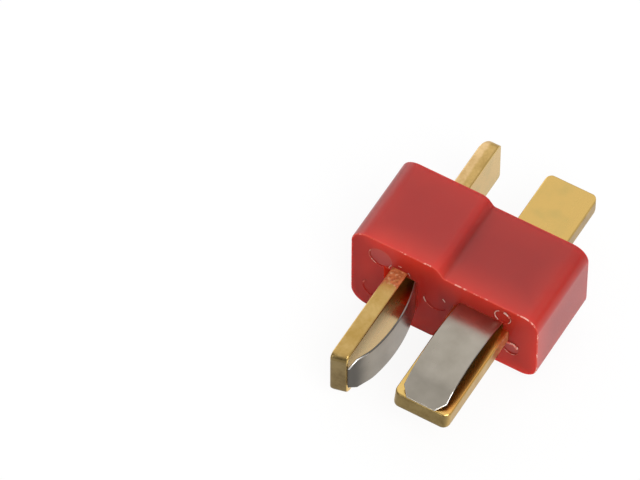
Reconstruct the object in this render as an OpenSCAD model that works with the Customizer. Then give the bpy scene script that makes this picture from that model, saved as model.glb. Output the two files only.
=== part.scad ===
// Two-blade battery connector plug: a stepped moulded housing with one upright and
// one flat contact blade, each carrying a bowed leaf spring. The blades mate towards -Y.
// Millimetres, +Z up, origin under the middle of the whole part.

/* [Housing] */
// Overall width of the housing, across both halves
housing_w = 15.4; // [14.8:0.1:17]
// Height of the thick half, round the upright blade
thick_h = 8.6; // [8.2:0.1:10]
// Height of the thin half, round the flat blade
thin_h = 7.0; // [6.4:0.1:7.6]
// Depth of the housing from the mating face to the rear face
housing_d = 7.4; // [7:0.1:10]
// Distance of the step's upper edge from the middle of the width
step_offset = 0.7; // [0.4:0.05:1]
// Sideways run of the sloping step between the halves
step_run = 0.6; // [0.4:0.05:0.9]
// Rounding of the step's upper edge
step_r = 0.9; // [0.4:0.05:1]
// Rounding of the corner at the step's foot
step_foot_r = 0.3; // [0.1:0.05:0.4]
// Rounding of the thick half's outer corners
thick_corner_r = 1.4; // [0.8:0.05:1.8]
// Rounding of the thin half's outer corners
thin_corner_r = 1.3; // [0.8:0.05:1.6]
// Wall at the rear that the blades' shoulders seat on
rear_wall = 1.6; // [1.2:0.1:1.8]

/* [Blades] */
// Thickness of the blade strip
blade_t = 1.3; // [1:0.05:1.5]
// Width of a blade on the mating side
blade_w = 4.5; // [4.3:0.05:4.9]
// Length of a blade in front of the mating face
blade_l = 8.85; // [8.3:0.05:10]
// Rounding of a blade's front corners
blade_corner_r = 0.7; // [0.4:0.05:1]
// How much shorter a blade is on its spring side, where the end was sheared off at a slant
end_slant = 0.25; // [0.05:0.05:0.25]
// Height of the square land at a blade's front end, on its plain side
end_land = 0.3; // [0.25:0.05:0.5]
// Width of a solder tab
tab_w = 4.2; // [3.5:0.05:4.25]
// Length of a solder tab behind the rear face
tab_l = 6.25; // [4:0.05:9]
// Rounding of a solder tab's end corners
tab_corner_r = 0.7; // [0.4:0.05:1.3]
// Length over which a solder tab's end is rounded off on the plain side
nose_l = 1.5; // [1:0.1:2]
// Thickness that the rounding takes off a solder tab's end
nose_d = 0.6; // [0.2:0.05:0.7]
// Rounding of the strip's long edges and of the other edges at its ends
edge_r = 0.15; // [0.05:0.01:0.2]
// Distance of the upright blade from the middle of the width
upright_x = 3.65; // [3.4:0.05:4]
// Height of the upright blade's middle over the housing's mid-height
upright_z = -0.25; // [-0.4:0.05:0.4]
// Distance of the flat blade from the middle of the width
flat_x = 3.05; // [2.9:0.05:3.4]
// Height of the flat blade's middle over the housing's mid-height
flat_z = 0.25; // [-0.3:0.05:0.4]

/* [Springs] */
// Thickness of the leaf springs
spring_t = 0.15; // [0.1:0.01:0.2]
// Width of the leaf springs
spring_w = 3.5; // [3:0.05:3.9]
// Gap between a blade and the crown of its spring
spring_bow = 1.2; // [0.9:0.05:1.4]
// Distance of the crown in front of the mating face
spring_crown = 3.9; // [3.6:0.05:4.2]
// Radius of the long bow, under the leaf
bow_r = 11.8; // [10.5:0.1:14]
// Distance from a spring's tip back from the end of its blade
tip_setback = 0.25; // [0.25:0.05:0.5]
// Length of the straight tip in front of its crease
tip_l = 1.85; // [1.4:0.05:2.2]
// Running gap between a spring's free tip and its blade
tip_gap = 0.02; // [0:0.01:0.05]
// Width cut off each corner of the tip
tip_corner_w = 0.6; // [0.4:0.05:1.2]
// Length cut off each corner of the tip
tip_corner_l = 0.7; // [0.5:0.05:1.4]
// Length of the flat foot that the housing clamps
foot_l = 2.5; // [1.5:0.1:3]

/* [Pockets] */
// Clearance all round a blade in its slot and outside a spring's foot
slot_gap = 0.02; // [0.01:0.01:0.05]
// Clearance round a spring in the mouth of its pocket
pocket_gap = 0.03; // [0.02:0.01:0.1]
// Width of the relief on the blade's plain side
relief_w = 0.65; // [0.3:0.05:0.8]
// Depth of the relief on the blade's plain side
relief_d = 1.2; // [0.8:0.1:3]

/* [Ejector marks] */
// Diameter of the marks on the thick half
thick_mark_d = 1.9; // [1.5:0.1:2]
// Diameter of the marks on the thin half
thin_mark_d = 1.3; // [1:0.1:1.5]
// Depth of the marks
mark_depth = 0.05; // [0.03:0.01:0.15]
// Rim between a mark and the corner or piece that it stands beside
mark_rim = 0.5; // [0.3:0.05:0.6]

/* [Hidden] */
$fn = 96;
// Reach of a cutting shape past the face it cuts
over = 1;

red_nylon = "#A63C3A";
gold_plated_brass = "#C6A35A";
spring_steel = "#9C978D";

// Places along Y: the blades' ends, the two faces of the housing and the shoulder seat
overall_l = blade_l + housing_d + tab_l;
face_y = blade_l - overall_l / 2;
seat_depth = housing_d - rear_wall;
mid_z = thick_h / 2;

// The step: its two corners, the slope and how far the two roundings run along its lines
step_top = [-step_offset, thick_h / 2];
step_foot = [step_run - step_offset, thin_h / 2];
step_slope = atan2(step_top.y - step_foot.y, step_run);
step_dir = [cos(step_slope), -sin(step_slope)];
step_out = [sin(step_slope), cos(step_slope)];
step_tangent = step_r * tan(step_slope / 2);
foot_tangent = step_foot_r * tan(step_slope / 2);

// The spring's underside: a long bow, a crease, and a straight tip that comes down on the blade
tip_p = blade_l - tip_setback;
bow_centre = [spring_crown, spring_bow - bow_r];
crease_p = tip_p - tip_l;
crease_h = bow_centre.y + sqrt(bow_r ^ 2 - (crease_p - spring_crown) ^ 2);
tip_slope = atan2(crease_h - tip_gap, tip_l);
// Where the underside of the bow meets the blade again, inside the housing
foot_p = spring_crown - sqrt(bow_r ^ 2 - bow_centre.y ^ 2);

// The pocket takes the spring from the mating face to where the bow's outer face rises from the foot
pocket_p = spring_crown - sqrt((bow_r + spring_t) ^ 2 - (spring_t - bow_centre.y) ^ 2);
pocket_h = bow_centre.y + sqrt((bow_r + spring_t) ^ 2 - spring_crown ^ 2) + pocket_gap;
pocket_w = spring_w + 2 * pocket_gap;

// Middles of the ejector marks on the mating face, from the pieces they stand beside
thick_mark_x = -upright_x - blade_t / 2 - thick_mark_d / 2;
thick_marks = [
    [thick_mark_x, thick_h / 2 - thick_corner_r - mark_rim],
    [thick_mark_x - mark_rim, -thick_h / 2 + thick_corner_r + 2 * mark_rim],
    [-step_offset, upright_z + mark_rim]
];
thin_marks = [
    [flat_x + spring_w / 2, thin_h / 2 - mark_rim - thin_mark_d / 2],
    [flat_x + blade_w / 2 + mark_rim / 2, flat_z - blade_t / 2 - thin_mark_d / 2]
];

// Contacts are drawn lying along +X, with the blade's spring side at Y = 0 and the width on Z
module at_flat() {
    translate([flat_x, face_y, mid_z + flat_z + blade_t / 2])
        rotate([0, 0, -90])
            rotate([90, 0, 0])
                children();
}

module at_upright() {
    translate([-upright_x + blade_t / 2, face_y, mid_z + upright_z])
        rotate([0, 90, 0])
            rotate([0, 0, -90])
                rotate([90, 0, 0])
                    children();
}

// A bar from one place along the contact to another, between two heights, centred on its width
module bar(from, to, low, high, width) {
    translate([from, low, -width / 2])
        cube([to - from, high - low, width]);
}

module rounded_section(width, height, radius) {
    square([width - 2 * radius, height], center = true);
    square([width, height - 2 * radius], center = true);
    for (x = [-1, 1], y = [-1, 1])
        translate([x * (width / 2 - radius), y * (height / 2 - radius)])
            circle(radius);
}

// What a rounding takes off a square corner; inward points from the corner into the part
module corner_waste(corner, inward, radius) {
    difference() {
        polygon([
            corner - over * inward,
            corner + [radius * inward.x, -over * inward.y],
            corner + radius * inward,
            corner + [-over * inward.x, radius * inward.y]
        ]);
        translate(corner + radius * inward)
            circle(radius);
    }
}

// A flat bar seen from above, square at its start and with two rounded corners at its end
module round_ended(length, width, radius) {
    difference() {
        translate([0, -width / 2])
            square([length, width]);
        corner_waste([length, -width / 2], [-1, 1], radius);
        corner_waste([length, width / 2], [-1, -1], radius);
    }
}

// What a blade's front end loses in side view: its plain edge, and the slant over the square land
module front_waste() {
    slant_low = end_land - blade_t / 2;
    corner_waste([0, -blade_t / 2], [-1, 1], edge_r);
    polygon([[0, slant_low], [-end_slant, blade_t / 2], [-end_slant, over], [over, over], [over, slant_low]]);
}

// What a solder tab's end loses in side view: the long rounding of its plain side, and its other edge
module tab_waste() {
    nose_r = (nose_l ^ 2 + nose_d ^ 2) / (2 * nose_d);
    difference() {
        translate([-nose_l, -blade_t / 2 - over])
            square([nose_l + over, over + nose_d]);
        translate([-nose_l, nose_r - blade_t / 2])
            circle(nose_r);
    }
    corner_waste([0, blade_t / 2], [-1, -1], edge_r);
}

// Strip between two places: what its cross-section and its plan have in common, less the waste at its end
module strip(from, to, width, corner_r) {
    length = to - from;
    translate([from, -blade_t / 2, 0])
        difference() {
            intersection() {
                rotate([90, 0, 90])
                    linear_extrude(length)
                        rounded_section(blade_t, width, edge_r);
                translate([0, blade_t / 2, 0])
                    rotate([90, 0, 0])
                        linear_extrude(blade_t)
                            round_ended(length, width, corner_r);
            }
            translate([length, 0, -width / 2 - over])
                linear_extrude(width + 2 * over)
                    children();
        }
}

// Stamped contact: the mating blade, its shoulder inside the housing and the solder tab
module contact_blade() {
    color(gold_plated_brass) {
        strip(-seat_depth, blade_l, blade_w, blade_corner_r)
            front_waste();
        mirror([1, 0, 0])
            strip(seat_depth, housing_d + tab_l, tab_w, tab_corner_r)
                tab_waste();
    }
}

// All that lies under the bow and its tip, grown outwards by a thickness
module under_leaf(thickness) {
    reach = 2 * bow_r;
    intersection() {
        translate(bow_centre)
            circle(bow_r + thickness);
        translate([crease_p, crease_h])
            rotate(-tip_slope)
                translate([-reach, thickness - reach])
                    square([2 * reach, reach]);
    }
}

// Side view of the leaf: the bow and tip above the blade, and the flat foot
module leaf_outline() {
    difference() {
        intersection() {
            under_leaf(spring_t);
            translate([foot_p - foot_l, 0])
                square([tip_p - foot_p + foot_l, spring_bow + over]);
        }
        under_leaf(0);
    }
    translate([foot_p - foot_l, 0])
        square([foot_l, spring_t]);
}

// Bowed leaf spring, its tip cut to a blunt point
module leaf_spring() {
    color(spring_steel)
        difference() {
            translate([0, 0, -spring_w / 2])
                linear_extrude(spring_w)
                    leaf_outline();
            for (side = [0, 1])
                mirror([0, 0, side])
                    translate([tip_p, -over, spring_w / 2])
                        rotate([-90, 0, 0])
                            linear_extrude(spring_bow + 2 * over)
                                polygon([[over, -over], [over, tip_corner_w], [0, tip_corner_w],
                                         [-tip_corner_l, 0], [-tip_corner_l, -over]]);
        }
}

// Room in the housing for one contact: blade slot, tab slot, spring pocket, foot slot and relief
module contact_room() {
    slot_low = -blade_t - slot_gap;
    bar(-seat_depth, over, slot_low, slot_gap, blade_w + 2 * slot_gap);
    bar(-housing_d - over, -seat_depth, slot_low, slot_gap, tab_w + 2 * slot_gap);
    bar(pocket_p, over, 0, pocket_h, pocket_w);
    bar(foot_p - foot_l - slot_gap, 0, 0, spring_t + slot_gap, spring_w + 2 * slot_gap);
    bar(-relief_d, over, -blade_t - relief_w, 0, pocket_w);
}

// What the rounding takes off the step's upper edge, and the hollow of the corner at its foot
module step_waste() {
    difference() {
        polygon([
            step_top - [step_tangent, 0],
            step_top + [-step_tangent, over],
            step_top + over * [tan(step_slope / 2), 1],
            step_top + step_tangent * step_dir + over * step_out,
            step_top + step_tangent * step_dir
        ]);
        translate(step_top - [step_tangent, step_r])
            circle(step_r);
    }
    translate(step_foot + [foot_tangent, step_foot_r])
        circle(step_foot_r);
}

module housing_outline() {
    left = -housing_w / 2;
    right = housing_w / 2;
    upper = [
        [left, thick_h / 2],
        step_top,
        step_foot - foot_tangent * step_dir,
        step_foot + [foot_tangent, 0],
        [right, thin_h / 2]
    ];
    lower = [for (i = [len(upper) - 1 : -1 : 0]) [upper[i].x, -upper[i].y]];
    difference() {
        polygon(concat(upper, lower));
        for (down = [0, 1])
            mirror([0, down]) {
                corner_waste([left, thick_h / 2], [1, -1], thick_corner_r);
                corner_waste([right, thin_h / 2], [-1, -1], thin_corner_r);
                step_waste();
            }
    }
}

module marks(places, diameter) {
    for (place = places)
        translate([place.x, face_y + mark_depth, mid_z + place.y])
            rotate([90, 0, 0])
                cylinder(h = mark_depth + over, d = diameter);
}

module housing() {
    color(red_nylon)
        difference() {
            translate([0, face_y + housing_d, mid_z])
                rotate([90, 0, 0])
                    linear_extrude(housing_d)
                        housing_outline();
            at_flat()
                contact_room();
            at_upright()
                contact_room();
            marks(thick_marks, thick_mark_d);
            marks(thin_marks, thin_mark_d);
        }
}

module upright_blade() {
    at_upright()
        contact_blade();
}

module flat_blade() {
    at_flat()
        contact_blade();
}

module upright_spring() {
    at_upright()
        leaf_spring();
}

module flat_spring() {
    at_flat()
        leaf_spring();
}

housing();
upright_blade();
flat_blade();
upright_spring();
flat_spring();
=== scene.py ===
"""Looks of the two-blade battery connector plug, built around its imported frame: a red moulded nylon
housing, gold-plated stamped blades and satin leaf springs, on a plain white table under soft light.
Lengths are in metres."""

import math

import bmesh
import bpy
from mathutils import Matrix, Vector


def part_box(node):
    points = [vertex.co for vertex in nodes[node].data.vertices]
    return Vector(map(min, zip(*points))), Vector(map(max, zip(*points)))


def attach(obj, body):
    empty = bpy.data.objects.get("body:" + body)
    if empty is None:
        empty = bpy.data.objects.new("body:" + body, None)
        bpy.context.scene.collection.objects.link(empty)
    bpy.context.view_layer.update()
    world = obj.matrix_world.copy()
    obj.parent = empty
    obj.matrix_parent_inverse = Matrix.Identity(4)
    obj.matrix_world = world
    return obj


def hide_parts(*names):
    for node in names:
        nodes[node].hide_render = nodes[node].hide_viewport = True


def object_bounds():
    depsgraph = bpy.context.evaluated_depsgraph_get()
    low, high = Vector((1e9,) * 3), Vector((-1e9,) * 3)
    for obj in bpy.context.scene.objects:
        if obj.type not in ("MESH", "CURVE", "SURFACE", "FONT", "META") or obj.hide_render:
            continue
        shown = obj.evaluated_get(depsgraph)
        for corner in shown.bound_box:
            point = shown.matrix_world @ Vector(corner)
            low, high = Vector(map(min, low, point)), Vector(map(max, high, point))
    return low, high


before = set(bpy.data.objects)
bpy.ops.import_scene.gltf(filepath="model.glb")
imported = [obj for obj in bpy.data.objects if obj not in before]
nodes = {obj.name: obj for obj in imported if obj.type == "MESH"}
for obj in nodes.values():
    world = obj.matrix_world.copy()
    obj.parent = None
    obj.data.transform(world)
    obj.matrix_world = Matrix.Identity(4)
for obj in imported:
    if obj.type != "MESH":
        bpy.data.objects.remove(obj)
cad_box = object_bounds()

MM = 0.001
# Axes by number
X, Z = 0, 2
# Corners closer together than TINY are one corner; a cut runs through a corner that is closer than CUT_SNAP
TINY = 0.002 * MM
CUT_SNAP = TINY / 10

# Photograph: viewing direction in degrees, what lies at the picture's middle, and the long lens that it
# was taken with
VIEW_AZIMUTH = 30.47
VIEW_ELEVATION = 54.93
VIEW_ROLL = 0.063
PICTURE_MIDDLE = Vector((-9.65, -3.49, 7.08)) * MM
CAMERA_DISTANCE = 466.7 * MM
CLIP_START = CAMERA_DISTANCE / 10
CLIP_END = CAMERA_DISTANCE * 20
SENSOR_WIDTH = 36.0
LENS = 366.2

# Housing: where the step lies across the width, and the half heights on either side of it
STEP_TOP_X = -0.7 * MM
STEP_FOOT_X = -0.1 * MM
THICK_HALF = 4.3 * MM
THIN_HALF = 3.5 * MM
# Edge that the mould's parting line leaves round the front and the rear face
RIM_ROUND = 0.075 * MM
RIM_SEGMENTS = 3
# Ejector pin marks on the mating face: across, up, radius
PIN_MARKS = [
    Vector((-5.25, 6.70, 0.95)) * MM,
    Vector((-5.75, 2.40, 0.95)) * MM,
    Vector((-0.70, 4.55, 0.95)) * MM,
    Vector((4.80, 6.65, 0.65)) * MM,
    Vector((5.55, 3.25, 0.65)) * MM,
]
MARK_DEPTH = 0.05 * MM
SHINY_MARKS = (PIN_MARKS[0], PIN_MARKS[4])
# Where the upright blade comes out, flash stands round its upper edge: across, up, radius
BLADE_MOUTH = Vector((-3.65, 5.85, 0.9)) * MM
# Torn flash along those edges: round what, start in degrees clockwise from the top, sweep, thickness
FLASH_BEADS = [
    (PIN_MARKS[0], 200, 100, 0.035 * MM),
    (PIN_MARKS[1], 285, 25, 0.05 * MM),
    (PIN_MARKS[2], 190, 75, 0.035 * MM),
    (PIN_MARKS[2], 40, 18, 0.04 * MM),
    (PIN_MARKS[3], 215, 120, 0.035 * MM),
    (PIN_MARKS[3], 5, 55, 0.085 * MM),
    (PIN_MARKS[3], 75, 60, 0.03 * MM),
    (PIN_MARKS[4], 110, 130, 0.035 * MM),
    (PIN_MARKS[4], 260, 50, 0.03 * MM),
    (PIN_MARKS[4], 335, 80, 0.12 * MM),
    (BLADE_MOUTH, 275, 35, 0.03 * MM),
    (BLADE_MOUTH, 352, 16, 0.03 * MM),
    (BLADE_MOUTH, 48, 34, 0.025 * MM),
]
BEAD_SIDES = 8
BEAD_STEPS = 20

# Leaf springs, as they are in the construction: strip, bow, tip and the corners cut off the tip
LEAF_THICK = 0.15 * MM
BOW_RADIUS = 11.8 * MM
CROWN = 3.9 * MM
TIP_LENGTH = 1.85 * MM
TIP_GAP = 0.02 * MM
TIP_CUT_WIDTH = 0.6 * MM
TIP_CUT_LENGTH = 0.7 * MM
# What the construction leaves out: the strip's rolled edges and the small arc in the crease
LEAF_EDGE = 0.065 * MM
LEAF_EDGE_SEGMENTS = 2
CREASE_RADIUS = 3.6 * MM
BOW_STEPS = 32
CREASE_STEPS = 6

# Blades: rounded corners, rolled edges, and the slant over a square land at the end
BLADE_CORNER = 0.55 * MM
BLADE_CORNER_SEGMENTS = 12
BLADE_EDGE = 0.15 * MM
BLADE_EDGE_SEGMENTS = 4
END_SLANT = 0.25 * MM
END_LAND = 0.3 * MM
# How deep in the housing the modelled front ends, and the gap that is bridged there to the rest
JOIN_DEPTH = 1.5 * MM
JOIN_GAP = 0.05 * MM
# A blade and its leaf are modelled forward along X with the spring side up, and then turned into place
LYING = Matrix(((0, 1, 0), (-1, 0, 0), (0, 0, 1))).to_4x4()
STANDING = Matrix(((0, 0, 1), (-1, 0, 0), (0, -1, 0))).to_4x4()

# Bends: within a flat face, at an edge that gets rounded, and where shading breaks
FLAT_ANGLE = math.radians(0.5)
RIM_ANGLE = math.radians(30)
SHARP_ANGLE = math.radians(50)

# Finishes of each kind of piece, in the order of its material slots
MOULDED, RIM_FLASH, ERODED, PIN_MARKED, PIN_FLASH, PAINTED_BACKLIGHT = range(6)
PLATED, SHEARED = range(2)
STRIP, SLIT, CLIPPED = range(3)
# What a face's normal has in a direction decides its finish: flush or straight along it, the plated side
# of a blade, the flat side of a strip, and the long edge of a strip
FLUSH = 0.99
STRAIGHT = 0.9
PLATED_SIDE = 0.7
STRIP_SIDE = 0.85
LONG_EDGE = 0.3

# Places of the two colours and of the result on a node that mixes colours
FIRST, SECOND, MIXED = 6, 7, 2

# Table: its size, and how far it lies under the plug
TABLE_SIZE = 3.0
TABLE_DROP = 0.02 * MM

# Light: where it comes from, the angles in degrees at which it starts and is full, and its strength
ROOM_STRENGTH = 0.2
BANK_TOWARDS = Vector((-0.29, 0.50, 0.82))
BANK_START = 78
BANK_FULL = 10
BANK_STRENGTH = 1.3
LOW_PATCHES = [
    (Vector((-0.86, 0.50, 0.12)), 30, 8, 1.4),
    (Vector((0.80, 0.50, 0.27)), 38, 12, 0.36),
]
KEY_TOWARDS = Vector((0.52, -0.42, 0.74))
KEY_SPREAD = math.radians(40)
KEY_STRENGTH = 2.1
GLINT_TOWARDS = Vector((-0.29, -0.87, 0.38))
GLINT_SIZE = 0.1
GLINT_POWER = 0.25
LAMP_DISTANCE = 0.5
# Light that goes back and forth between leaf and blade is followed this many times
GLOSSY_BOUNCES = 12


def linear(hex_colour):
    """An sRGB hex colour as linear RGBA."""
    channels = [int(hex_colour[i : i + 2], 16) / 255 for i in (1, 3, 5)]
    return [c / 12.92 if c <= 0.04045 else ((c + 0.055) / 1.055) ** 2.4 for c in channels] + [1.0]


def per(size_mm):
    """A pattern's scale for features of this size in millimetres."""
    return 1 / (size_mm * MM)


def add(tree, kind, settings, inputs):
    """Adds a node with its settings; each input, by name or place, takes a value or another node's link."""
    node = tree.nodes.new(kind)
    for name, value in settings.items():
        setattr(node, name, value)
    for key, value in inputs.items():
        if isinstance(value, bpy.types.NodeSocket):
            tree.links.new(value, node.inputs[key])
        else:
            node.inputs[key].default_value = value
    return node


def new_material(name):
    """An empty node material, with its tree and the place of each point on the piece."""
    material = bpy.data.materials.new(name)
    material.use_nodes = True
    tree = material.node_tree
    tree.nodes.clear()
    place = add(tree, "ShaderNodeTexCoord", {}, {}).outputs["Object"]
    return material, tree, place


def edge_distance(tree, place):
    """How far a point of the housing's skin lies from the nearest edge of the block, in metres."""
    low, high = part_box("housing")
    middle = (low + high) / 2
    half = (high - low) / 2
    centred = add(tree, "ShaderNodeVectorMath", {"operation": "SUBTRACT"}, {0: place, 1: middle})
    size = add(tree, "ShaderNodeVectorMath", {"operation": "ABSOLUTE"}, {0: centred.outputs[0]})
    away = add(tree, "ShaderNodeSeparateXYZ", {}, {"Vector": size.outputs[0]})
    half_height = add(tree, "ShaderNodeMapRange", {}, {
        "Value": add(tree, "ShaderNodeSeparateXYZ", {}, {"Vector": place}).outputs["X"],
        "From Min": STEP_TOP_X,
        "From Max": STEP_FOOT_X,
        "To Min": THICK_HALF,
        "To Max": THIN_HALF,
    }).outputs["Result"]
    to_side, to_end, to_top = [
        add(tree, "ShaderNodeMath", {"operation": "SUBTRACT"}, {0: reach, 1: away.outputs[axis]}).outputs[0]
        for reach, axis in ((half.x, "X"), (half.y, "Y"), (half_height, "Z"))
    ]
    # The middle one of the three distances: the smallest belongs to the face that the point lies on
    near = add(tree, "ShaderNodeMath", {"operation": "MINIMUM"}, {0: to_side, 1: to_end}).outputs[0]
    far = add(tree, "ShaderNodeMath", {"operation": "MAXIMUM"}, {0: to_side, 1: to_end}).outputs[0]
    upper = add(tree, "ShaderNodeMath", {"operation": "MINIMUM"}, {0: far, 1: to_top}).outputs[0]
    return add(tree, "ShaderNodeMath", {"operation": "MAXIMUM"}, {0: near, 1: upper}).outputs[0]


def red_nylon(name, grain, gloss, roughness, painted_edge_glow, painted_backlight=0.0, rear_shade=1.0):
    # Nylon injected into a steel mould: light soaks in, and a painted glow makes the colour near the edges
    # lighter than the body, over slow flow clouds and under a skin that takes the mould's grain. That
    # grain is only hundredths of a millimetre wide, so it is drawn coarser, or it would not show
    material, tree, place = new_material(name)
    low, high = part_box("housing")
    side_glow, thick_glow, thin_glow = painted_edge_glow
    grain_size, grain_depth = grain
    parts = add(tree, "ShaderNodeSeparateXYZ", {}, {"Vector": place})
    across = parts.outputs["X"]
    along = parts.outputs["Y"]
    glow_reach = add(tree, "ShaderNodeMapRange", {}, {
        "Value": across,
        "From Min": low.x,
        "From Max": high.x,
        "To Min": 2.4 * MM,
        "To Max": 3.2 * MM,
    }).outputs["Result"]
    painted_glow = add(tree, "ShaderNodeMapRange", {"interpolation_type": "SMOOTHSTEP"}, {
        "Value": edge_distance(tree, place),
        "From Min": 0.0,
        "From Max": glow_reach,
        "To Min": 1.0,
        "To Max": 0.0,
    }).outputs["Result"]
    # The painted glow changes from the thick end to the thin one, along the left side and from front to rear
    painted_glow_bands = [
        ("LINEAR", across, low.x, high.x, thick_glow, thin_glow),
        ("SMOOTHSTEP", across, low.x, low.x + 2.6 * MM, side_glow, 1.0),
        ("LINEAR", along, low.y, high.y, 1.0, 0.15),
    ]
    for fade, value, start, end, at_start, at_end in painted_glow_bands:
        band = add(tree, "ShaderNodeMapRange", {"interpolation_type": fade}, {
            "Value": value,
            "From Min": start,
            "From Max": end,
            "To Min": at_start,
            "To Max": at_end,
        }).outputs["Result"]
        painted_glow = add(tree, "ShaderNodeMath", {"operation": "MULTIPLY"}, {0: painted_glow, 1: band}).outputs[0]
    clouds = add(tree, "ShaderNodeTexNoise", {}, {
        "Vector": place,
        "Scale": per(3.5),
        "Detail": 2.0,
    }).outputs["Fac"]
    body = add(tree, "ShaderNodeMix", {"data_type": "RGBA"}, {
        "Factor": clouds,
        FIRST: linear("#A01E17"),
        SECOND: linear("#A8231A"),
    }).outputs[MIXED]
    # Painted shade: the body is darker in the thin half, most of all at the step's foot, and at the left and
    # rear ends
    painted_shade_bands = [
        (across, STEP_TOP_X, STEP_FOOT_X, 1.0, 0.8),
        (across, STEP_FOOT_X, STEP_FOOT_X + 1.2 * MM, 1.0, 1.1),
        (across, low.x, low.x + 1.6 * MM, 0.78, 1.0),
        (along, high.y - 0.35 * MM, high.y - RIM_ROUND, 1.0, rear_shade),
    ]
    for value, start, end, at_start, at_end in painted_shade_bands:
        shade = add(tree, "ShaderNodeMapRange", {"interpolation_type": "SMOOTHSTEP"}, {
            "Value": value,
            "From Min": start,
            "From Max": end,
            "To Min": at_start,
            "To Max": at_end,
        }).outputs["Result"]
        body = add(tree, "ShaderNodeVectorMath", {"operation": "SCALE"}, {
            0: body,
            "Scale": shade,
        }).outputs[0]
    # Painted glow: near the edges the colour turns to a lighter red
    colour = add(tree, "ShaderNodeMix", {"data_type": "RGBA"}, {
        "Factor": painted_glow,
        FIRST: body,
        SECOND: linear("#C43223"),
    }).outputs[MIXED]
    skin = add(tree, "ShaderNodeTexNoise", {}, {
        "Vector": place,
        "Scale": per(grain_size),
        "Detail": 3.0,
    }).outputs["Fac"]
    rough = add(tree, "ShaderNodeMapRange", {}, {
        "Value": skin,
        "To Min": roughness - 0.06,
        "To Max": roughness + 0.06,
    }).outputs["Result"]
    bump = add(tree, "ShaderNodeBump", {}, {
        "Height": skin,
        "Strength": 0.1,
        "Distance": grain_depth * MM,
    })
    shader = add(tree, "ShaderNodeBsdfPrincipled", {}, {
        "Base Color": colour,
        "Roughness": rough,
        "Normal": bump.outputs["Normal"],
        "IOR": 1.53,
        "Specular IOR Level": gloss,
        "Subsurface Weight": 1.0,
        "Subsurface Radius": (2.0, 0.5, 0.35),
        "Subsurface Scale": MM,
        # Painted glow: this emission stands in for light that comes through the nylon
        "Emission Color": linear("#BC2A16"),
        "Emission Strength": painted_backlight,
    })
    add(tree, "ShaderNodeOutputMaterial", {}, {"Surface": shader.outputs["BSDF"]})
    return material


def nylon_flash(name, corner_share, far_share):
    # Thin flash torn off at the mould's edges: stretched nylon turns pale and dull, in broken stretches,
    # most of them at the thin half's upper corner
    material, tree, place = new_material(name)
    low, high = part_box("housing")
    corner = Vector((high.x - 1.6 * MM, low.y, high.z - 2.6 * MM))
    fine, coarse = [
        add(tree, "ShaderNodeTexNoise", {}, {
            "Vector": place,
            "Scale": per(size_mm),
            "Detail": detail,
        }).outputs["Fac"]
        for size_mm, detail in ((0.22, 5.0), (1.2, 1.0))
    ]
    torn = add(tree, "ShaderNodeMath", {"operation": "ADD"}, {0: fine, 1: coarse}).outputs[0]
    away = add(tree, "ShaderNodeVectorMath", {"operation": "DISTANCE"}, {0: place, 1: corner})
    share = add(tree, "ShaderNodeMapRange", {"interpolation_type": "SMOOTHSTEP"}, {
        "Value": away.outputs["Value"],
        "From Min": 1.55 * MM,
        "From Max": 2.3 * MM,
        "To Min": corner_share,
        "To Max": far_share,
    }).outputs["Result"]
    torn = add(tree, "ShaderNodeMath", {"operation": "ADD"}, {0: torn, 1: share}).outputs[0]
    pale = add(tree, "ShaderNodeMapRange", {"interpolation_type": "SMOOTHSTEP"}, {
        "Value": torn,
        "From Min": 1.0,
        "From Max": 1.12,
    }).outputs["Result"]
    colour = add(tree, "ShaderNodeMix", {"data_type": "RGBA"}, {
        "Factor": pale,
        FIRST: linear("#C4483B"),
        SECOND: linear("#DFA597"),
    }).outputs[MIXED]
    shader = add(tree, "ShaderNodeBsdfPrincipled", {}, {
        "Base Color": colour,
        "Roughness": 0.6,
        "IOR": 1.53,
        "Specular IOR Level": 0.25,
        "Subsurface Weight": 0.6,
        "Subsurface Radius": (0.5, 0.3, 0.25),
        "Subsurface Scale": MM,
    })
    add(tree, "ShaderNodeOutputMaterial", {}, {"Surface": shader.outputs["BSDF"]})
    return material


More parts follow.
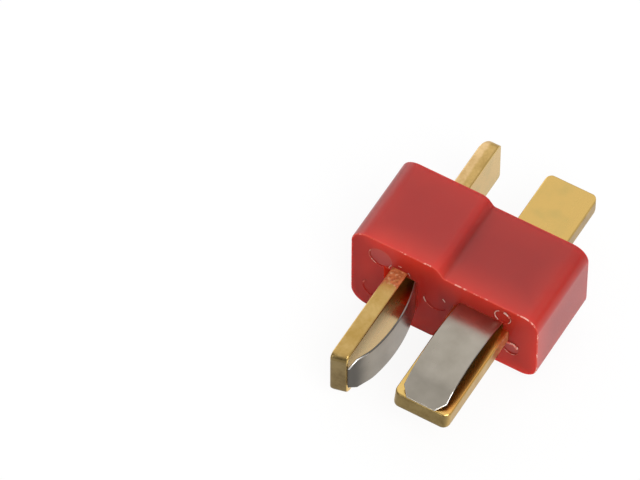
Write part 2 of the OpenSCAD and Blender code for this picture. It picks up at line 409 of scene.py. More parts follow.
def gold_plated_brass():
    # Rolled brass strip under thin gold: a soft mirror with faint lengthwise rolling lines, clouds where
    # the plating runs thinner and greener, painted warm light beside the flat leaf's edge that stands in for
    # light bouncing between leaf and blade, and front ends painted lighter as a highlight. Real rolling
    # lines are too fine to show, so these are drawn a millimetre apart
    material, tree, place = new_material("gold_plated_brass")
    leaf_low, leaf_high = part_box("flat_spring")
    face_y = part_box("housing")[0].y
    front_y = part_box("flat_blade")[0].y
    parts = add(tree, "ShaderNodeSeparateXYZ", {}, {"Vector": place})
    across = parts.outputs["X"]
    along = parts.outputs["Y"]
    clouds = add(tree, "ShaderNodeTexNoise", {}, {
        "Vector": place,
        "Scale": per(1.8),
        "Detail": 4.0,
    }).outputs["Fac"]
    thin = add(tree, "ShaderNodeMapRange", {"interpolation_type": "SMOOTHSTEP"}, {
        "Value": clouds,
        "From Min": 0.45,
        "From Max": 0.7,
    }).outputs["Result"]
    colour = add(tree, "ShaderNodeMix", {"data_type": "RGBA"}, {
        "Factor": thin,
        FIRST: linear("#D6B269"),
        SECOND: linear("#CCAE68"),
    }).outputs[MIXED]
    # The painted warm light lies outside the housing, beside the leaf and behind its tip, and fades to half
    # further out
    painted_gap_light = add(tree, "ShaderNodeMath", {"operation": "LESS_THAN"}, {0: along, 1: face_y}).outputs[0]
    painted_gap_bands = [
        (across, leaf_high.x - 0.45 * MM, leaf_high.x + 0.05 * MM, 0.0, 1.0),
        (along, leaf_low.y, leaf_low.y + 0.8 * MM, 0.0, 1.0),
        (across, leaf_high.x, leaf_high.x + 0.4 * MM, 1.0, 0.5),
    ]
    for value, start, end, at_start, at_end in painted_gap_bands:
        band = add(tree, "ShaderNodeMapRange", {"interpolation_type": "SMOOTHSTEP"}, {
            "Value": value,
            "From Min": start,
            "From Max": end,
            "To Min": at_start,
            "To Max": at_end,
        }).outputs["Result"]
        painted_gap_light = add(tree, "ShaderNodeMath", {"operation": "MULTIPLY"}, {0: painted_gap_light, 1: band}).outputs[0]
    colour = add(tree, "ShaderNodeMix", {"data_type": "RGBA"}, {
        "Factor": painted_gap_light,
        FIRST: colour,
        SECOND: linear("#DE8E3C"),
    }).outputs[MIXED]
    # Painted highlight: the gold is lighter towards the front ends
    painted_front_highlight = add(tree, "ShaderNodeMapRange", {"interpolation_type": "SMOOTHSTEP"}, {
        "Value": along,
        "From Min": front_y + 0.6 * MM,
        "From Max": front_y + 2.0 * MM,
        "To Min": 1.22,
        "To Max": 1.0,
    }).outputs["Result"]
    colour = add(tree, "ShaderNodeVectorMath", {"operation": "SCALE"}, {
        0: colour,
        "Scale": painted_front_highlight,
    }).outputs[0]
    lengthwise = add(tree, "ShaderNodeMapping", {}, {
        "Vector": place,
        "Scale": (per(1.0), per(4.0), per(1.0)),
    }).outputs["Vector"]
    lines = add(tree, "ShaderNodeTexNoise", {}, {
        "Vector": lengthwise,
        "Scale": 1.0,
        "Detail": 2.0,
    }).outputs["Fac"]
    rough = add(tree, "ShaderNodeMapRange", {}, {
        "Value": lines,
        "To Min": 0.25,
        "To Max": 0.29,
    }).outputs["Result"]
    shader = add(tree, "ShaderNodeBsdfPrincipled", {}, {
        "Base Color": colour,
        "Metallic": 1.0,
        "Roughness": rough,
    })
    add(tree, "ShaderNodeOutputMaterial", {}, {"Surface": shader.outputs["BSDF"]})
    return material


def sheared_gold():
    # Edges that the punch sheared: torn grain that the gold follows, so they sparkle unevenly, and bare
    # brass at the front ends, painted darker still as shade; a thin smear of the housing's nylon is left
    # where they come out of the mould.
    # The real grain is finer than the render can show, so it is drawn coarser
    material, tree, place = new_material("sheared_gold_edge")
    low, high = cad_box
    face_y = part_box("housing")[0].y
    blade_low, blade_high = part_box("upright_blade")
    parts = add(tree, "ShaderNodeSeparateXYZ", {}, {"Vector": place})
    across = parts.outputs["X"]
    along = parts.outputs["Y"]
    normal = add(tree, "ShaderNodeNewGeometry", {}, {}).outputs["Normal"]
    facing = add(tree, "ShaderNodeSeparateXYZ", {}, {"Vector": normal})
    grain, clouds, torn, flecks = [
        add(tree, "ShaderNodeTexNoise", {}, {
            "Vector": place,
            "Scale": per(size_mm),
            "Detail": detail,
        }).outputs["Fac"]
        for size_mm, detail in ((0.22, 4.0), (1.2, 3.0), (0.5, 6.0), (0.3, 6.0))
    ]
    worn = add(tree, "ShaderNodeMath", {"operation": "MULTIPLY_ADD"}, {
        0: grain,
        1: 0.5,
        2: clouds,
    }).outputs[0]
    worn = add(tree, "ShaderNodeMapRange", {}, {
        "Value": worn,
        "From Min": 0.55,
        "From Max": 0.95,
    }).outputs["Result"]
    # Dull and bright shade of the blades' edges, of burnished and torn tab edges, and of the bare front
    # ends, painted dark as shade
    shades = [("#BB9854", "#CDAC6C"), ("#C4A26C", "#DEBD89"), ("#B09156", "#CAA96B"), ("#6E5B36", "#88754C")]
    colour, burnished_tab, torn_tab, bare_shaded_end = [
        add(tree, "ShaderNodeMix", {"data_type": "RGBA"}, {
            "Factor": worn,
            FIRST: linear(dull),
            SECOND: linear(bright),
        }).outputs[MIXED]
        for dull, bright in shades
    ]
    to_rear = add(tree, "ShaderNodeMapRange", {}, {
        "Value": along,
        "From Min": low.y,
        "From Max": high.y,
        "To Min": 0.92,
        "To Max": 1.18,
    }).outputs["Result"]
    colour = add(tree, "ShaderNodeVectorMath", {"operation": "SCALE"}, {
        0: colour,
        "Scale": to_rear,
    }).outputs[0]
    # On the upright tab the punch burnished the left part of the thickness and tore the rest, which stays
    # darker; the flat tab's edges are all of the torn shade
    tear_x = (blade_low.x + blade_high.x) / 2 + 0.18 * MM
    tear = add(tree, "ShaderNodeMath", {"operation": "MULTIPLY_ADD"}, {
        0: torn,
        1: 0.35 * MM,
        2: across,
    }).outputs[0]
    past_tear = add(tree, "ShaderNodeMapRange", {"interpolation_type": "SMOOTHSTEP"}, {
        "Value": tear,
        "From Min": tear_x - 0.1 * MM,
        "From Max": tear_x + 0.1 * MM,
    }).outputs["Result"]
    tab = add(tree, "ShaderNodeMix", {"data_type": "RGBA"}, {
        "Factor": past_tear,
        FIRST: burnished_tab,
        SECOND: torn_tab,
    }).outputs[MIXED]
    # Painted light and shade: tab faces that look up are lighter, and those that look sideways or down are
    # darker
    upward = add(tree, "ShaderNodeMapRange", {}, {
        "Value": facing.outputs["Z"],
        "To Min": 0.8,
        "To Max": 1.14,
    }).outputs["Result"]
    tab = add(tree, "ShaderNodeVectorMath", {"operation": "SCALE"}, {0: tab, "Scale": upward}).outputs[0]
    # Blades and tabs part at Y = 0, which lies hidden in the housing
    on_tab = add(tree, "ShaderNodeMath", {"operation": "GREATER_THAN"}, {0: along, 1: 0.0}).outputs[0]
    # Painted shade: faces that look forward take the dark colour of the bare ends
    front_end = add(tree, "ShaderNodeMapRange", {"interpolation_type": "SMOOTHSTEP"}, {
        "Value": facing.outputs["Y"],
        "From Min": -0.3,
        "From Max": -0.95,
    }).outputs["Result"]
    # The smear ends raggedly in front of the mating face and has darker blotches and pale flecks
    ragged = add(tree, "ShaderNodeMath", {"operation": "MULTIPLY_ADD"}, {
        0: torn,
        1: 2.4 * MM,
        2: along,
    }).outputs[0]
    smear = add(tree, "ShaderNodeMapRange", {"interpolation_type": "SMOOTHSTEP"}, {
        "Value": ragged,
        "From Min": face_y - 0.3 * MM,
        "From Max": face_y + 0.1 * MM,
        "To Max": 0.85,
    }).outputs["Result"]
    outside = add(tree, "ShaderNodeMath", {"operation": "LESS_THAN"}, {0: along, 1: face_y}).outputs[0]
    smear = add(tree, "ShaderNodeMath", {"operation": "MULTIPLY"}, {0: smear, 1: outside}).outputs[0]
    blotch = add(tree, "ShaderNodeMapRange", {}, {
        "Value": grain,
        "From Min": 0.35,
        "From Max": 0.65,
    }).outputs["Result"]
    fleck = add(tree, "ShaderNodeMapRange", {"interpolation_type": "SMOOTHSTEP"}, {
        "Value": flecks,
        "From Min": 0.54,
        "From Max": 0.66,
        "To Max": 0.6,
    }).outputs["Result"]
    red = add(tree, "ShaderNodeMix", {"data_type": "RGBA"}, {
        "Factor": blotch,
        FIRST: linear("#9A4024"),
        SECOND: linear("#C9693F"),
    }).outputs[MIXED]
    red = add(tree, "ShaderNodeMix", {"data_type": "RGBA"}, {
        "Factor": fleck,
        FIRST: red,
        SECOND: linear("#E2B48C"),
    }).outputs[MIXED]
    for cover, shade in ((on_tab, tab), (front_end, bare_shaded_end), (smear, red)):
        colour = add(tree, "ShaderNodeMix", {"data_type": "RGBA"}, {
            "Factor": cover,
            FIRST: colour,
            SECOND: shade,
        }).outputs[MIXED]
    metal = add(tree, "ShaderNodeMath", {"operation": "SUBTRACT"}, {0: 1.0, 1: smear}).outputs[0]
    rough = add(tree, "ShaderNodeMapRange", {}, {
        "Value": grain,
        "To Min": 0.26,
        "To Max": 0.42,
    }).outputs["Result"]
    bump = add(tree, "ShaderNodeBump", {}, {"Height": grain, "Strength": 0.06, "Distance": 0.02 * MM})
    shader = add(tree, "ShaderNodeBsdfPrincipled", {}, {
        "Base Color": colour,
        "Metallic": metal,
        "Roughness": rough,
        "Normal": bump.outputs["Normal"],
    })
    add(tree, "ShaderNodeOutputMaterial", {}, {"Surface": shader.outputs["BSDF"]})
    return material


def spring_steel(name, tip_y, tip_shade, bow_shade):
    # Cold-rolled spring strip: grey satin with soft lengthwise streaks, drawn coarser than the real ones so
    # that they show, and a few dull clouds; the straight tip has a painted shade of its own, and the root is
    # painted brighter than the bow, as painted reflections
    material, tree, place = new_material(name)
    root_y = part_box("housing")[0].y
    lengthwise = add(tree, "ShaderNodeMapping", {}, {
        "Vector": place,
        "Scale": (per(0.3), per(5.0), per(0.3)),
    }).outputs["Vector"]
    streaks = add(tree, "ShaderNodeTexNoise", {}, {
        "Vector": lengthwise,
        "Scale": 1.0,
        "Detail": 3.0,
    }).outputs["Fac"]
    clouds = add(tree, "ShaderNodeTexNoise", {}, {
        "Vector": place,
        "Scale": per(1.4),
        "Detail": 3.0,
    }).outputs["Fac"]
    colour = add(tree, "ShaderNodeMix", {"data_type": "RGBA"}, {
        "Factor": clouds,
        FIRST: linear("#958E81"),
        SECOND: linear("#B8B0A4"),
    }).outputs[MIXED]
    along = add(tree, "ShaderNodeSeparateXYZ", {}, {"Vector": place}).outputs["Y"]
    # Painted reflection: shade at the tip's end and on the bow, and light near the root
    painted_shade_bands = [
        (tip_y + 0.4 * MM, tip_y + TIP_LENGTH, tip_shade, bow_shade),
        (root_y - 2.0 * MM, root_y - 0.7 * MM, 1.0, 1.5),
    ]
    for start, end, at_start, at_end in painted_shade_bands:
        shade = add(tree, "ShaderNodeMapRange", {"interpolation_type": "SMOOTHSTEP"}, {
            "Value": along,
            "From Min": start,
            "From Max": end,
            "To Min": at_start,
            "To Max": at_end,
        }).outputs["Result"]
        colour = add(tree, "ShaderNodeVectorMath", {"operation": "SCALE"}, {
            0: colour,
            "Scale": shade,
        }).outputs[0]
    rough = add(tree, "ShaderNodeMapRange", {}, {
        "Value": streaks,
        "To Min": 0.24,
        "To Max": 0.36,
    }).outputs["Result"]
    shader = add(tree, "ShaderNodeBsdfPrincipled", {}, {
        "Base Color": colour,
        "Metallic": 1.0,
        "Roughness": rough,
    })
    add(tree, "ShaderNodeOutputMaterial", {}, {"Surface": shader.outputs["BSDF"]})
    return material


def slit_steel():
    # Edges of the slit strip: fine grain, drawn coarser so that it shows, painted dark along the bow and
    # painted lighter towards both ends, as painted shade and highlights
    material, tree, place = new_material("slit_steel_edge")
    tip_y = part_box("flat_spring")[0].y
    grain = add(tree, "ShaderNodeTexNoise", {}, {
        "Vector": place,
        "Scale": per(0.25),
        "Detail": 3.0,
    }).outputs["Fac"]
    colour = add(tree, "ShaderNodeMix", {"data_type": "RGBA"}, {
        "Factor": grain,
        FIRST: linear("#C2BFBA"),
        SECOND: linear("#DAD8D4"),
    }).outputs[MIXED]
    along = add(tree, "ShaderNodeSeparateXYZ", {}, {"Vector": place}).outputs["Y"]
    at_tip = add(tree, "ShaderNodeMapRange", {"interpolation_type": "SMOOTHSTEP"}, {
        "Value": along,
        "From Min": tip_y + 0.6 * TIP_CUT_LENGTH,
        "From Max": tip_y + 1.7 * TIP_CUT_LENGTH,
        "To Min": 0.9,
        "To Max": 0.25,
    }).outputs["Result"]
    at_root = add(tree, "ShaderNodeMapRange", {"interpolation_type": "SMOOTHSTEP"}, {
        "Value": along,
        "From Min": tip_y + 3.0 * MM,
        "From Max": tip_y + 7.0 * MM,
        "To Max": 0.7,
    }).outputs["Result"]
    painted_shading = add(tree, "ShaderNodeMath", {"operation": "MAXIMUM"}, {0: at_tip, 1: at_root}).outputs[0]
    colour = add(tree, "ShaderNodeVectorMath", {"operation": "SCALE"}, {
        0: colour,
        "Scale": painted_shading,
    }).outputs[0]
    shader = add(tree, "ShaderNodeBsdfPrincipled", {}, {
        "Base Color": colour,
        "Metallic": 1.0,
        "Roughness": 0.3,
    })
    add(tree, "ShaderNodeOutputMaterial", {}, {"Surface": shader.outputs["BSDF"]})
    return material


def cut_steel():
    # Corners clipped off the leaf's tip last of all: bare steel with the cutter's grain, drawn coarser so
    # that it shows, painted very light as a highlight; what faces left is painted darker as shade
    material, tree, place = new_material("cut_steel_corner")
    grain = add(tree, "ShaderNodeTexNoise", {}, {
        "Vector": place,
        "Scale": per(0.2),
        "Detail": 3.0,
    }).outputs["Fac"]
    colour = add(tree, "ShaderNodeMix", {"data_type": "RGBA"}, {
        "Factor": grain,
        FIRST: linear("#DEDCD8"),
        SECOND: linear("#F4F2EF"),
    }).outputs[MIXED]
    normal = add(tree, "ShaderNodeNewGeometry", {}, {}).outputs["Normal"]
    painted_shading = add(tree, "ShaderNodeMapRange", {}, {
        "Value": add(tree, "ShaderNodeSeparateXYZ", {}, {"Vector": normal}).outputs["X"],
        "From Min": -0.4,
        "From Max": -0.1,
        "To Min": 0.4,
        "To Max": 1.0,
    }).outputs["Result"]
    colour = add(tree, "ShaderNodeVectorMath", {"operation": "SCALE"}, {
        0: colour,
        "Scale": painted_shading,
    }).outputs[0]
    shader = add(tree, "ShaderNodeBsdfPrincipled", {}, {
        "Base Color": colour,
        "Metallic": 1.0,
        "Roughness": 0.35,
    })
    add(tree, "ShaderNodeOutputMaterial", {}, {"Surface": shader.outputs["BSDF"]})
    return material


def table_white():
    # White sweep lit until it is nearly paper white: what the camera and the metals see of it is lifted
    # towards white, and it still takes the plug's soft shadow
    material, tree, _ = new_material("white_sweep")
    path = add(tree, "ShaderNodeLightPath", {}, {})
    seen = add(tree, "ShaderNodeMath", {"operation": "MAXIMUM"}, {
        0: path.outputs["Is Camera Ray"],
        1: path.outputs["Is Transmission Ray"],
    }).outputs[0]
    lift = add(tree, "ShaderNodeMath", {"operation": "MULTIPLY"}, {0: seen, 1: 0.9}).outputs[0]
    lift = add(tree, "ShaderNodeMath", {"operation": "MULTIPLY_ADD"}, {
        0: path.outputs["Is Glossy Ray"],
        1: 0.7,
        2: lift,
    }).outputs[0]
    matt = add(tree, "ShaderNodeBsdfDiffuse", {}, {"Color": linear("#F7F7F7")})
    white = add(tree, "ShaderNodeEmission", {}, {"Strength": 1.0})
    surface = add(tree, "ShaderNodeMixShader", {}, {0: lift, 1: matt.outputs[0], 2: white.outputs[0]})
    add(tree, "ShaderNodeOutputMaterial", {}, {"Surface": surface.outputs[0]})
    return material


def merged_copy(node):
    """A bmesh of a CAD node with its loose triangles joined and its flat faces made whole."""
    bm = bmesh.new()
    bm.from_mesh(nodes[node].data)
    bmesh.ops.remove_doubles(bm, verts=bm.verts, dist=TINY)
    bmesh.ops.dissolve_limit(bm, angle_limit=FLAT_ANGLE, verts=bm.verts, edges=bm.edges)
    return bm


def cut(bm, point, normal, clear=False):
    """Cuts a bmesh along a plane, and clears away the side that the normal points to if asked."""
    bmesh.ops.bisect_plane(bm, geom=bm.verts[:] + bm.edges[:] + bm.faces[:], dist=CUT_SNAP,
                           plane_co=point, plane_no=normal, clear_outer=clear)


def rounded(bm, edges, radius, segments):
    """Rounds edges off and gives back the faces of the rounding."""
    return bmesh.ops.bevel(bm, geom=edges, offset=radius, offset_type="OFFSET", affect="EDGES",
                           segments=segments, profile=0.5, material=-1, clamp_overlap=True)["faces"]


def finish_piece(name, bm, node, materials):
    """Turns a bmesh into a piece that stands for a CAD node. The largest face at a corner leads its
    shading, so flat faces stay flat and the roundings between them turn softly."""
    normals = []
    for face in bm.faces:
        face.smooth = True
        for vert in face.verts:
            near = [f for f in vert.link_faces if f == face or f.normal.angle(face.normal) < SHARP_ANGLE]
            # Areas in square metres are too small to add up well, so tiny squares are counted
            shares = [f.normal * (f.calc_area() / TINY ** 2) for f in near]
            normals.append(sum(shares, Vector()).normalized())
    mesh = bpy.data.meshes.new(name)
    bm.to_mesh(mesh)
    bm.free()
    mesh.normals_split_custom_set(normals)
    for material in materials:
        mesh.materials.append(material)
    piece = bpy.data.objects.new(name, mesh)
    bpy.context.scene.collection.objects.link(piece)
    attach(piece, "root")
    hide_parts(node)


def flat_rim(bm, y, outward):
    """Edges where the flat face at this Y, facing along outward, meets another face."""
    rim = set()
    for edge in bm.edges:
        if any(abs(v.co.y - y) > TINY for v in edge.verts):
            continue
        flush = [face.normal.y * outward > FLUSH for face in edge.link_faces]
        if sorted(flush) == [False, True]:
            rim.add(edge)
    return rim


def outer_loop(edges):
    """The edges that hang together with the one furthest to the left."""
    left = [min(edges, key=lambda e: min(v.co.x for v in e.verts))]
    loop = set()
    while left:
        edge = left.pop()
        if edge in loop:
            continue
        loop.add(edge)
        left += [e for v in edge.verts for e in v.link_edges if e in edges]
    return loop


def add_bead(bm, around, start, sweep, thickness, face_y):
    """A bead of flash along part of a round edge, half sunk in the mating face."""
    centre = Vector((around.x, face_y, around.y))
    radius = around.z
    place = Matrix.Translation(centre) @ Matrix.Rotation(start, 4, "Y") @ Matrix.Translation((0, 0, radius))
    ring = bmesh.ops.create_circle(bm, cap_ends=True, segments=BEAD_SIDES, radius=thickness)["verts"]
    bmesh.ops.transform(bm, matrix=place @ Matrix.Rotation(math.pi / 2, 4, "Y"), verts=ring)
    bead = {face for vert in ring for face in vert.link_faces}
    bmesh.ops.spin(bm, geom=list(bead), cent=centre, axis=(0, 1, 0), angle=sweep, steps=BEAD_STEPS)
    border = list(bead)
    while border:
        face = border.pop()
        new = {f for e in face.edges for f in e.link_faces} - bead
        bead |= new
        border += new
    bmesh.ops.recalc_face_normals(bm, faces=list(bead))
    for face in bead:
        face.material_index = PIN_FLASH


def make_housing():
    """The moulding: the constructed housing with its parting edges, torn flash and finishes."""
    bm = merged_copy("housing")
    low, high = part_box("housing")
    front = outer_loop(flat_rim(bm, low.y, -1))
    rear = outer_loop(flat_rim(bm, high.y, 1))
    skin = {face for edge in front for face in edge.link_faces}
    for face in bm.faces:
        middle = face.calc_center_median()
        on_front = face.normal.y < -STRAIGHT and middle.y < low.y + TINY
        on_rear = face.normal.y > STRAIGHT and middle.y > high.y - TINY
        if on_front or on_rear:
            face.material_index = ERODED
        elif face.normal.y < -STRAIGHT and middle.y < low.y + MARK_DEPTH + TINY:
            spot = Vector((middle.x, middle.z))
            shiny = any((spot - mark.xy).length < mark.z for mark in SHINY_MARKS)
            face.material_index = PIN_MARKED if shiny else ERODED
        elif face not in skin and low.y + MARK_DEPTH < middle.y < high.y - TINY:
            face.material_index = PAINTED_BACKLIGHT
    for rim, finish in ((front, RIM_FLASH), (rear, MOULDED)):
        for face in rounded(bm, list(rim), RIM_ROUND, RIM_SEGMENTS):
            face.material_index = finish
    for around, start, sweep, thickness in FLASH_BEADS:
        add_bead(bm, around, math.radians(start), math.radians(sweep), thickness, low.y)
    finishes = [
        # Sides drawn from polished steel: a satin sheen
        red_nylon("moulded_red_nylon", grain=(0.16, 0.02), gloss=0.45, roughness=0.32,
                  painted_edge_glow=(0.1, 1.0, 0.65), rear_shade=0.68),
        nylon_flash("torn_rim_flash", corner_share=0.07, far_share=-0.11),
        # Both end faces, from spark-eroded steel: dull
        red_nylon("eroded_red_nylon", grain=(0.12, 0.03), gloss=0.15, roughness=0.5,
                  painted_edge_glow=(0.0, 0.9, 0.6)),
        # Marks of the two smoother ejector pins: shinier than the face round them
        red_nylon("pin_marked_red_nylon", grain=(0.2, 0.02), gloss=0.3, roughness=0.4,
                  painted_edge_glow=(0.0, 0.6, 0.6)),
        nylon_flash("torn_pin_flash", corner_share=0.09, far_share=0.02),
        # Walls of the slots and pockets: an emission paints a glow on them that stands in for light coming
        # through the nylon
        red_nylon("red_nylon_painted_backlight", grain=(0.2, 0.02), gloss=0.2, roughness=0.5,
                  painted_edge_glow=(0.5, 0.5, 0.5), painted_backlight=0.34),
    ]
    finish_piece("housing_moulding", bm, "housing", finishes)


def blade_front(length, width, thickness):
    """A blade as it stands out of the housing: forward along X, width on Y, spring side on Z = 0."""
    bm = bmesh.new()
    size = Matrix.Diagonal((length + JOIN_DEPTH, width, thickness, 1))
    middle = Matrix.Translation(((length - JOIN_DEPTH) / 2, 0, -thickness / 2))
    bmesh.ops.create_cube(bm, size=1, matrix=middle @ size)
    cut(bm, (0, 0, END_LAND - thickness), (0, 0, 1))
    upper = [v for v in bm.verts if v.co.x > 0 and v.co.z > -TINY]
    bmesh.ops.translate(bm, verts=upper, vec=(-END_SLANT, 0, 0))
    corners = [e for e in bm.edges if all(v.co.x > 0 for v in e.verts)]
    corners = [e for e in corners if abs(e.verts[0].co.y - e.verts[1].co.y) < TINY]
    rounded(bm, corners, BLADE_CORNER, BLADE_CORNER_SEGMENTS)
    rim = [e for e in bm.edges if e.calc_face_angle(0) > RIM_ANGLE]
    rim = [e for e in rim if any(v.co.x > 0 for v in e.verts)]
    rounded(bm, rim, BLADE_EDGE, BLADE_EDGE_SEGMENTS)
    return bm


def make_blade(side, place, front, gold):
    """The stamped contact of one side: the constructed tab and shoulder, with a modelled blade in front."""
    bm = merged_copy(side + "_blade")
    join_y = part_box("housing")[0].y + JOIN_DEPTH
    cut(bm, (0, join_y + JOIN_GAP, 0), (0, -1, 0), clear=True)
    bmesh.ops.transform(front, matrix=place, verts=front.verts)
    end = [f for f in front.faces if all(abs(v.co.y - join_y) < TINY for v in f.verts)]
    bmesh.ops.delete(front, geom=end, context="FACES")
    mesh = bpy.data.meshes.new("blade_front")
    front.to_mesh(mesh)
    front.free()
    bm.from_mesh(mesh)
    bpy.data.meshes.remove(mesh)
    bmesh.ops.bridge_loops(bm, edges=[e for e in bm.edges if e.is_boundary])
    upward = place.to_3x3() @ Vector((0, 0, 1))
    for face in bm.faces:
        face.material_index = SHEARED if abs(face.normal.dot(upward)) < PLATED_SIDE else PLATED
    finish_piece(side + "_contact", bm, side + "_blade", gold)


def last_row(made):
    """The foremost row of edges in a bmesh operator's result, with its corners."""
    edges = [e for e in made if isinstance(e, bmesh.types.BMEdge)]
    foremost = max(sum(v.co.x for v in e.verts) for e in edges)
    row = [e for e in edges if abs(sum(v.co.x for v in e.verts) - foremost) < TINY]
    return row + [v for e in row for v in e.verts]


def drawn_out(bm, row, shift):
    """Draws a row of edges out along a straight line and gives back the new row."""
    edges = [e for e in row if isinstance(e, bmesh.types.BMEdge)]
    made = bmesh.ops.extrude_edge_only(bm, edges=edges)["geom"]
    bmesh.ops.translate(bm, verts=[v for v in made if isinstance(v, bmesh.types.BMVert)], vec=shift)
    return last_row(made)


def bent_round(bm, row, centre, angle, steps):
    """Swings a row of edges round a line across the leaf and gives back the new row."""
    made = bmesh.ops.spin(bm, geom=row, cent=centre, axis=(0, 1, 0), angle=angle, steps=steps)
    return last_row(made["geom_last"])


def leaf_sheet(foot_end, tip_end, width, bow):
    """Underside of a leaf as a sheet: forward along X from the mating face, width on Y, and on Z the
    height over the blade."""
    centre = Vector((CROWN, 0, bow - BOW_RADIUS))
    foot = CROWN - math.sqrt(BOW_RADIUS ** 2 - centre.z ** 2)
    crease_x = tip_end - TIP_LENGTH
    crease = Vector((crease_x, 0, centre.z + math.sqrt(BOW_RADIUS ** 2 - (crease_x - CROWN) ** 2)))
    slope = math.atan2(crease.z - TIP_GAP, TIP_LENGTH)
    down = Vector((math.cos(slope), 0, -math.sin(slope)))
    outward = Vector((math.sin(slope), 0, math.cos(slope)))
    # The crease is a short arc that runs into the bow on one side and into the straight tip on the other
    offset = crease - CREASE_RADIUS * outward - centre
    reach = offset.dot(down)
    start = -reach - math.sqrt(reach ** 2 - offset.length_squared + (BOW_RADIUS - CREASE_RADIUS) ** 2)
    crease_centre = centre + offset + start * down
    bow_end = math.atan2(crease_centre.x - centre.x, crease_centre.z - centre.z)
    bow_sweep = math.asin((CROWN - foot) / BOW_RADIUS) + bow_end

    bm = bmesh.new()
    ends = [bm.verts.new((foot_end, side * width / 2, 0)) for side in (-1, 1)]
    row = drawn_out(bm, [bm.edges.new(ends)], Vector((foot - foot_end, 0, 0)))
    row = bent_round(bm, row, centre, bow_sweep, BOW_STEPS)
    row = bent_round(bm, row, crease_centre, slope - bow_end, CREASE_STEPS)
    drawn_out(bm, row, (TIP_LENGTH / math.cos(slope) - start) * down)
    for side in (-1, 1):
        corner = (tip_end - TIP_CUT_LENGTH, side * width / 2, 0)
        cut(bm, corner, (TIP_CUT_WIDTH, side * TIP_CUT_LENGTH, 0), clear=True)
    return bm


def make_leaf(side, place, bm, steel):
    """The bowed leaf spring of one side, from the sheet of its underside."""
    bmesh.ops.remove_doubles(bm, verts=bm.verts, dist=CUT_SNAP)
    bmesh.ops.recalc_face_normals(bm, faces=bm.faces)
    if sum(f.normal.z for f in bm.faces) < 0:
        bmesh.ops.reverse_faces(bm, faces=bm.faces)
    bmesh.ops.solidify(bm, geom=bm.faces[:], thickness=-LEAF_THICK)
    bmesh.ops.recalc_face_normals(bm, faces=bm.faces)
    rim = [e for e in bm.edges if e.calc_face_angle(0) > SHARP_ANGLE]
    rounded(bm, rim, LEAF_EDGE, LEAF_EDGE_SEGMENTS)
    for face in bm.faces:
        forward = abs(face.normal.xy.normalized().x)
        if abs(face.normal.z) >= STRIP_SIDE or forward >= STRAIGHT:
            face.material_index = STRIP
        else:
            face.material_index = SLIT if forward < LONG_EDGE else CLIPPED
    bmesh.ops.transform(bm, matrix=place, verts=bm.verts)
    finish_piece(side + "_leaf", bm, side + "_spring", steel)


def make_contact(side, turn, across, up, gold, steel):
    """A blade with its leaf; across and up are the axes of the blade's width and of its spring side."""
    face_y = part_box("housing")[0].y
    low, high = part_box(side + "_blade")
    leaf_low, leaf_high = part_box(side + "_spring")
    root = Vector((0, face_y, 0))
    root[across] = (low[across] + high[across]) / 2
    root[up] = high[up]
    place = Matrix.Translation(root) @ turn
    front = blade_front(face_y - low.y, high[across] - low[across], high[up] - low[up])
    make_blade(side, place, front, gold)
    bow = leaf_high[up] - high[up] - LEAF_THICK
    width = leaf_high[across] - leaf_low[across]
    make_leaf(side, place, leaf_sheet(face_y - leaf_high.y, face_y - leaf_low.y, width, bow), steel)


def make_contacts():
    """Both contacts with their leaves. The flat leaf's tip is painted a little brighter than its bow, and
    the upright leaf's much darker, as painted reflection and shade."""
    gold = [gold_plated_brass(), sheared_gold()]
    edges = [slit_steel(), cut_steel()]
    tip_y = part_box("flat_spring")[0].y
    satin = spring_steel("satin_spring_steel", tip_y, tip_shade=1.12, bow_shade=1.0)
    make_contact("flat", LYING, X, Z, gold, [satin] + edges)
    tip_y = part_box("upright_spring")[0].y
    dark_tipped = spring_steel("dark_tipped_spring_steel", tip_y, tip_shade=0.22, bow_shade=0.87)
    make_contact("upright", STANDING, Z, X, gold, [dark_tipped] + edges)


def make_table():
    """The plain white sweep that the plug lies on."""
    bm = bmesh.new()
    under = Matrix.Translation((0, 0, -TABLE_DROP))
    bmesh.ops.create_grid(bm, x_segments=1, y_segments=1, size=TABLE_SIZE, matrix=under)
    mesh = bpy.data.meshes.new("table")
    bm.to_mesh(mesh)
    bm.free()
    mesh.materials.append(table_white())
    table = bpy.data.objects.new("table", mesh)
    bpy.context.scene.collection.objects.link(table)


def add_lamp(name, kind, towards, settings):
    """A lamp that stands in a direction from the plug and shines at it."""
    data = bpy.data.lights.new(name, kind)
    for key, value in settings.items():
        setattr(data, key, value)
    lamp = bpy.data.objects.new(name, data)
    towards = towards.normalized()
    turn = towards.to_track_quat("Z", "Y").to_matrix().to_4x4()
    lamp.matrix_world = Matrix.Translation(towards * LAMP_DISTANCE) @ turn
    bpy.context.scene.collection.objects.link(lamp)


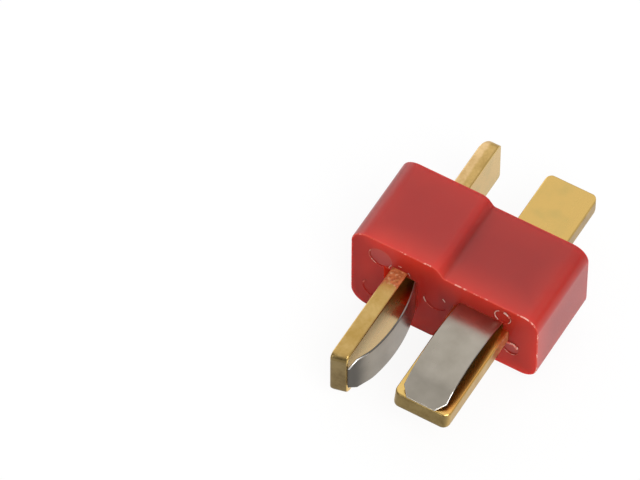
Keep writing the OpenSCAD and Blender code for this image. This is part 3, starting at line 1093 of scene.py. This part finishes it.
def make_light():
    """A dim room with a wide bank of soft light behind and above, a little to the left, and two low patches
    behind, a stronger one at the left and a faint one at the right; a broad lamp at the front right gives
    the key light, and a small one in front a glint."""
    world = bpy.data.worlds.new("soft_room")
    bpy.context.scene.world = world
    world.use_nodes = True
    tree = world.node_tree
    tree.nodes.clear()
    direction = add(tree, "ShaderNodeTexCoord", {}, {}).outputs["Generated"]
    to_bank = add(tree, "ShaderNodeVectorMath", {"operation": "DOT_PRODUCT"}, {
        0: direction,
        1: BANK_TOWARDS.normalized(),
    }).outputs["Value"]
    strength = add(tree, "ShaderNodeMapRange", {}, {
        "Value": to_bank,
        "From Min": math.cos(math.radians(BANK_START)),
        "From Max": math.cos(math.radians(BANK_FULL)),
        "To Min": ROOM_STRENGTH,
        "To Max": BANK_STRENGTH,
    }).outputs["Result"]
    for towards, start, full, patch_strength in LOW_PATCHES:
        to_patch = add(tree, "ShaderNodeVectorMath", {"operation": "DOT_PRODUCT"}, {
            0: direction,
            1: towards.normalized(),
        }).outputs["Value"]
        patch = add(tree, "ShaderNodeMapRange", {"interpolation_type": "SMOOTHSTEP"}, {
            "Value": to_patch,
            "From Min": math.cos(math.radians(start)),
            "From Max": math.cos(math.radians(full)),
            "To Max": patch_strength,
        }).outputs["Result"]
        strength = add(tree, "ShaderNodeMath", {"operation": "ADD"}, {0: strength, 1: patch}).outputs[0]
    background = add(tree, "ShaderNodeBackground", {}, {"Strength": strength})
    add(tree, "ShaderNodeOutputWorld", {}, {"Surface": background.outputs["Background"]})
    add_lamp("key_light", "SUN", KEY_TOWARDS, {"energy": KEY_STRENGTH, "angle": KEY_SPREAD})
    glint = {"shape": "DISK", "size": GLINT_SIZE, "energy": GLINT_POWER}
    add_lamp("glint_light", "AREA", GLINT_TOWARDS, glint)


def make_camera():
    """The camera where the photograph was taken from."""
    around = Matrix.Rotation(math.radians(VIEW_AZIMUTH), 4, "Z")
    down = Matrix.Rotation(math.pi / 2 - math.radians(VIEW_ELEVATION), 4, "X")
    turn = around @ down @ Matrix.Rotation(math.radians(VIEW_ROLL), 4, "Z")
    back = turn.to_3x3() @ Vector((0, 0, 1))
    data = bpy.data.cameras.new("camera")
    data.sensor_width = SENSOR_WIDTH
    data.lens = LENS
    data.clip_start = CLIP_START
    data.clip_end = CLIP_END
    camera = bpy.data.objects.new("camera", data)
    camera.matrix_world = Matrix.Translation(PICTURE_MIDDLE + back * CAMERA_DISTANCE) @ turn
    bpy.context.scene.collection.objects.link(camera)
    bpy.context.scene.camera = camera


make_housing()
make_contacts()
make_table()
make_light()
make_camera()
bpy.context.scene.view_settings.view_transform = "Standard"
bpy.context.scene.cycles.glossy_bounces = GLOSSY_BOUNCES
